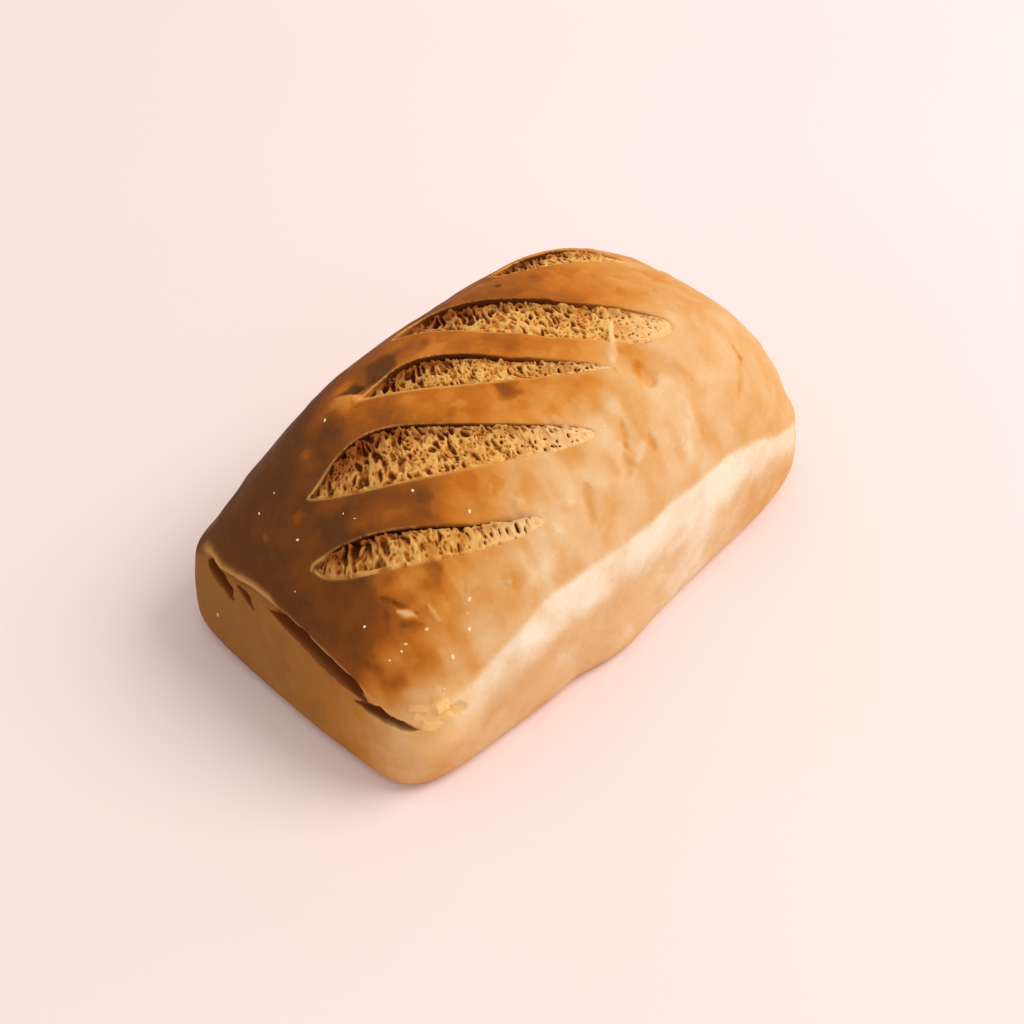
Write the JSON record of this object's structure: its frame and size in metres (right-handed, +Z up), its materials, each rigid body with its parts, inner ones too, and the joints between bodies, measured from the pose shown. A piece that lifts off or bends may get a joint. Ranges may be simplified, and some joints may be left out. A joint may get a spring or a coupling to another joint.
{
  "type": "white bread loaf",
  "caption": "Tin-baked white bread loaf with a domed golden-brown crust, slanting open scores that show the crumb, and a torn seam under the crust edge of one end.",
  "frame": {"origin": "middle of the loaf's outline, on the plane it rests on", "axes": "+X along the loaf towards the end without the torn seam, +Z up, +Y towards the side where the scores start"},
  "size_m": [0.239, 0.1424, 0.1042],
  "materials": {
    "crust": "dry baked crust with a slight gloss"
  },
  "bodies": {
    "root": {"loaf": "crust"}
  },
  "joints": []
}
